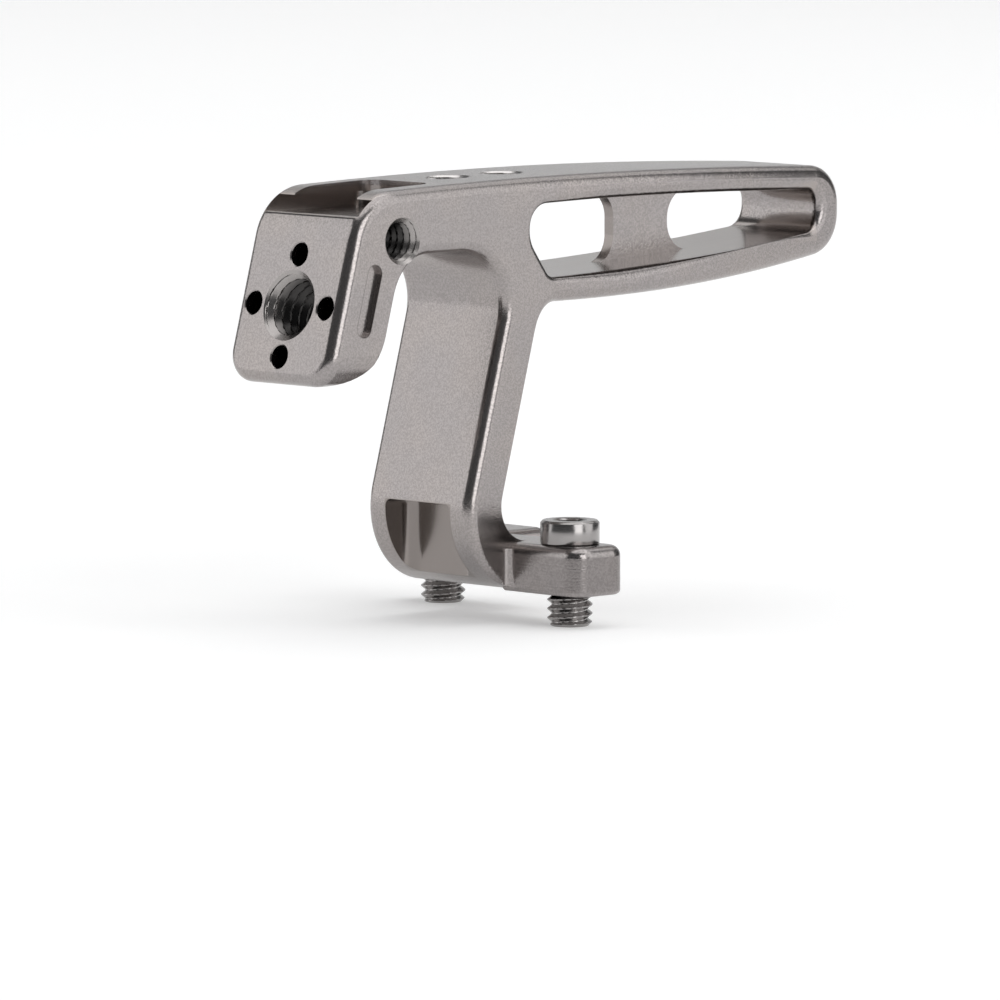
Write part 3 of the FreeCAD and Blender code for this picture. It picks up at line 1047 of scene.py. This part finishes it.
class Studio:
    """Floor, backdrop, soft boxes and camera."""

    def __init__(
        self,
        finish: StudioFinish,
        sweep: SweepSize,
        camera: CameraSize,
        lights: Iterable[LightSize],
    ) -> None:
        """Keep what the studio is made of.

        Args:
            finish: floor and surroundings.
            sweep: sizes of the floor and the backdrop.
            camera: the view.
            lights: the soft boxes.
        """
        self.finish = finish
        self.sweep = sweep
        self.camera = camera
        self.lights = list(lights)

    def build(self, ground: float, material: bpy.types.Material) -> None:
        """Set up everything round the handle.

        Args:
            ground: height of the floor, in metres.
            material: finish of the floor.
        """
        self._sweep(ground, material)
        self._world()
        self._overhead()
        for light in self.lights:
            self._light(light)
        self._camera()
        scene = bpy.context.scene
        scene.view_settings.view_transform = "Standard"

    def _axes(self) -> tuple[np.ndarray, np.ndarray, np.ndarray]:
        """Right, up and forward directions of the view.

        Returns:
            Three unit vectors.
        """
        a = math.radians(self.camera.azimuth)
        e = math.radians(self.camera.elevation)
        right = np.array([math.cos(a), math.sin(a), 0.0])
        forward = np.array([-math.sin(a) * math.cos(e), math.cos(a) * math.cos(e), -math.sin(e)])
        up = np.cross(right, forward)
        return right, up, forward

    def _sweep(self, ground: float, material: bpy.types.Material) -> None:
        """Floor that curves up into a backdrop.

        The section runs flat, follows a quarter circle, and rises; it is drawn along the
        direction of view and repeated across it.

        Args:
            ground: height of the floor, in metres.
            material: its finish.
        """
        a = math.radians(self.camera.azimuth)
        ahead = np.array([-math.sin(a), math.cos(a), 0.0])
        across = np.array([math.cos(a), math.sin(a), 0.0])
        radius, reach = self.sweep.bend_radius, self.sweep.reach
        bend = np.linspace(0.0, math.pi / 2.0, self.sweep.bend_points)
        flat = np.array([[-reach, 0.0], [reach, 0.0]])
        curve = np.stack([reach + radius * np.sin(bend), radius * (1.0 - np.cos(bend))], axis=-1)
        wall = np.array([[reach + radius, self.sweep.wall_top]])
        section = np.concatenate([flat, curve[1:], wall])
        width = np.array([-reach, reach])
        points = (
            section[:, None, 0, None] * ahead
            + width[None, :, None] * across
            + (section[:, None, 1, None] + ground) * np.array([0.0, 0.0, 1.0])
        )
        count = len(section)
        grid = np.arange(count * 2).reshape(count, 2)
        quads = np.stack([grid[:-1, 0], grid[:-1, 1], grid[1:, 1], grid[1:, 0]], axis=-1)
        mesh = bpy.data.meshes.new("floor")
        mesh.from_pydata(points.reshape(-1, 3).tolist(), [], quads.tolist())
        mesh.update()
        mesh.shade_smooth()
        made = bpy.data.objects.new("floor", mesh)
        made.data.materials.append(material)
        bpy.context.scene.collection.objects.link(made)
        made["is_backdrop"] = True

    def _world(self) -> None:
        """Even surroundings."""
        world = bpy.data.worlds.new("surroundings")
        bpy.context.scene.world = world
        world.use_nodes = True
        back = world.node_tree.nodes["Background"]
        back.inputs["Color"].default_value = (*self.finish.world, 1.0)
        back.inputs["Strength"].default_value = self.finish.world_strength

    def _overhead(self) -> None:
        """Wide even light from above, which gives the soft shadow on the floor."""
        data = bpy.data.lights.new("overhead", "SUN")
        data.energy = self.finish.overhead_strength
        data.angle = math.radians(self.finish.overhead_spread)
        made = bpy.data.objects.new("overhead", data)
        bpy.context.scene.collection.objects.link(made)

    def _light(self, size: LightSize) -> None:
        """One soft box that faces the handle.

        The power of a rectangular light is four times its radiance times its area.

        Args:
            size: its place, size and brightness.
        """
        data = bpy.data.lights.new(size.name, "AREA")
        data.shape = "RECTANGLE"
        data.size = size.width
        data.size_y = size.height
        data.energy = 4.0 * size.radiance * size.width * size.height
        made = bpy.data.objects.new(size.name, data)
        bpy.context.scene.collection.objects.link(made)
        a, e = math.radians(size.azimuth), math.radians(size.elevation)
        back = Vector((math.sin(a) * math.cos(e), -math.cos(a) * math.cos(e), math.sin(e)))
        made.location = Vector(AIM) + back * size.distance
        made.rotation_mode = "QUATERNION"
        made.rotation_quaternion = back.to_track_quat("Z", "Y")

    def _camera(self) -> None:
        """Camera with the pose of the photograph."""
        c = self.camera
        right, up, forward = self._axes()
        r = math.radians(c.roll)
        right, up = right * math.cos(r) + up * math.sin(r), up * math.cos(r) - right * math.sin(r)
        place = np.array(HOLE) - right * c.offset_right - up * c.offset_up - forward * c.distance
        data = bpy.data.cameras.new("camera")
        data.lens = c.lens
        data.sensor_width = c.sensor
        data.clip_start = c.clip_start
        data.clip_end = c.clip_end
        made = bpy.data.objects.new("camera", data)
        bpy.context.scene.collection.objects.link(made)
        turn = np.stack([right, up, -forward], axis=1)
        made.matrix_world = Matrix.Translation(Vector(place * MM)) @ Matrix(turn.tolist()).to_4x4()
        bpy.context.scene.camera = made


def threads() -> list[ThreadSize]:
    """Every threaded hole of the body.

    Returns:
        Their sizes, measured from the mouth of the large front hole.
    """
    into_face = (FACE_UP[2], 0.0, -FACE_UP[0])
    down = (0.0, 0.0, -1.0)
    large = dict(major=4.7625, minor=4.02, pitch=1.5875, mouth_radius=5.0, lead=0.85)
    small = dict(major=3.175, minor=2.60, pitch=1.27, mouth_radius=3.3, lead=0.62)
    return [
        ThreadSize("thread_front", (0.0, 0.0, 0.0), into_face, depth=9.0, **large),
        ThreadSize("thread_side", (11.6, -10.5, 8.8), (0.0, 1.0, 0.0), depth=7.8, **small),
        ThreadSize("thread_top_front", (30.3, 0.0, 16.36), down, depth=8.0, **small),
        ThreadSize("thread_top_rear", (40.7, 0.0, 16.50), down, depth=3.75, **small),
    ]


def screw_places() -> list[ScrewPlace]:
    """Both foot screws.

    Returns:
        Their places.
    """
    return [
        ScrewPlace("screw_near", Slot.SCREW_NEAR, -4.56, -17.56, 12.0),
        ScrewPlace("screw_far", Slot.SCREW_FAR, 4.56, 17.56, 40.0),
    ]


def soft_boxes() -> list[LightSize]:
    """Lights of the studio.

    Returns:
        The soft boxes: azimuth, elevation, distance, width, height and radiance of each.
    """
    return [
        LightSize("left_wall", -143.0, 20.0, 2.2, 1.9, 1.7, 0.96),
        LightSize("strip", -10.0, 20.0, 2.2, 1.25, 1.7, 2.0),
        LightSize("right_wall", 35.0, 32.0, 2.2, 1.6, 2.8, 1.03),
        LightSize("rear_top", 120.0, 52.0, 2.4, 3.0, 1.3, 0.75),
    ]


class Handle:
    """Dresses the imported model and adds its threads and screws."""

    def __init__(self, frame: dict) -> None:
        """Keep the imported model.
        """
        self.frame = frame
        self.finishes = Finishes()
        self.builders: list[Callable[[], None]] = [self._dress_body, self._line_holes, self._set_screws]

    def build(self) -> None:
        """Make every piece."""
        for builder in self.builders:
            builder()
            log.info("%s done", builder.__name__.strip("_"))

    def _dress_body(self) -> None:
        """Give the machined body its finish."""
        material = self.finishes.body(BodyFinish(), BodyZones())
        node = self.frame["nodes"][Slot.BODY.value]
        for slot in node.material_slots:
            slot.material = material

    def _line_holes(self) -> None:
        """Line each threaded hole with its thread."""
        # The front and side threads get full painted shade inside. The top threads get a much lighter base
        # as a painted glint, with milder painted shade from 1 mm down.
        dark = ThreadFinish()
        bright = ThreadFinish(base=(0.62, 0.60, 0.59), painted_depth_shade=(0.40, 0.385, 0.378), dark_from=1.0)
        for size in threads():
            finish = bright if size.name.startswith("thread_top") else dark
            ThreadedHole(size).build(self.finishes.thread(size, finish))

    def _set_screws(self) -> None:
        """Set both foot screws in place."""
        material = self.finishes.steel("screw_steel", SteelFinish())
        screw = FootScrew(ScrewSize(), ScrewEdges())
        for place in screw_places():
            screw.build(place, material)


def main() -> dict:
    """Build the whole scene.

    Returns:
        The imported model's box before the looks and after them, in metres.
    """
    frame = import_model()
    before = [list(corner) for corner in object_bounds()]
    Handle(frame).build()
    finish = StudioFinish()
    studio = Studio(finish, SweepSize(), CameraSize(), soft_boxes())
    studio.build(before[0][2], Finishes().floor(finish))
    after = [list(corner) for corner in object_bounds()]
    return {"cad": before, "visual": after}


if __name__ == "__main__":
    sizes = main()
    log.info("box %s", sizes)
